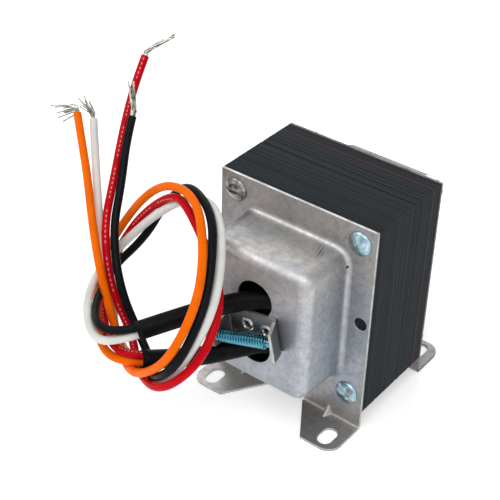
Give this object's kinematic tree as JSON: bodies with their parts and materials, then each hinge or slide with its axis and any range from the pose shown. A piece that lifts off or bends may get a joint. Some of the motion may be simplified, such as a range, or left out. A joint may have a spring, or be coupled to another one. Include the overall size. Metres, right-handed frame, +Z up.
{
  "type": "electrical transformer",
  "caption": "Chassis transformer: laminated steel core between two domed end bells with slotted feet, and colour-coded insulated leads leaving through sleeved outlets.",
  "frame": {"origin": "on the mounting surface, under the middle of the box around the transformer without its leads and sleeves", "axes": "+X to the viewer's right across the front bell, +Y from the front bell to the rear bell, +Z up from the feet"},
  "size_m": [0.137, 0.122, 0.1086],
  "materials": {
    "core_steel": "dark varnished lamination edges",
    "bell_steel": "dull plated sheet steel",
    "blue_zinc": "blue passivated zinc",
    "bright_zinc": "bright zinc plate",
    "bobbin_plastic": "moulded plastic",
    "winding": "enamelled copper wire",
    "insulation": "insulating film and tape",
    "sleeve": "satin black sleeving",
    "black_insulation": "glossy wire insulation",
    "white_insulation": "glossy wire insulation",
    "red_insulation": "glossy wire insulation",
    "orange_insulation": "glossy wire insulation",
    "tinned_copper": "bare tinned strands"
  },
  "bodies": {
    "root": {"front_e_laminations": "core_steel", "front_i_laminations": "core_steel", "rear_e_laminations": "core_steel", "rear_i_laminations": "core_steel", "bobbin": "bobbin_plastic", "primary_winding": "winding", "secondary_winding": "winding", "winding_insulation": "insulation", "coil_wrap": "insulation", "front_end_bell": "bell_steel", "rear_end_bell": "bell_steel", "domed_bolts": "blue_zinc", "slotted_bolt": "bright_zinc", "lock_washers": "bright_zinc", "hex_nuts": "bright_zinc", "knockout_clamp": "bell_steel", "clamp_eyelets": "bright_zinc", "clamp_screw": "blue_zinc", "upper_lead_sleeve": "sleeve", "lower_lead_sleeve": "sleeve", "black_lead": "black_insulation", "black_strands": "tinned_copper", "white_lead": "white_insulation", "white_strands": "tinned_copper", "red_lead": "red_insulation", "red_strands": "tinned_copper", "orange_lead": "orange_insulation", "orange_strands": "tinned_copper"}
  },
  "joints": []
}
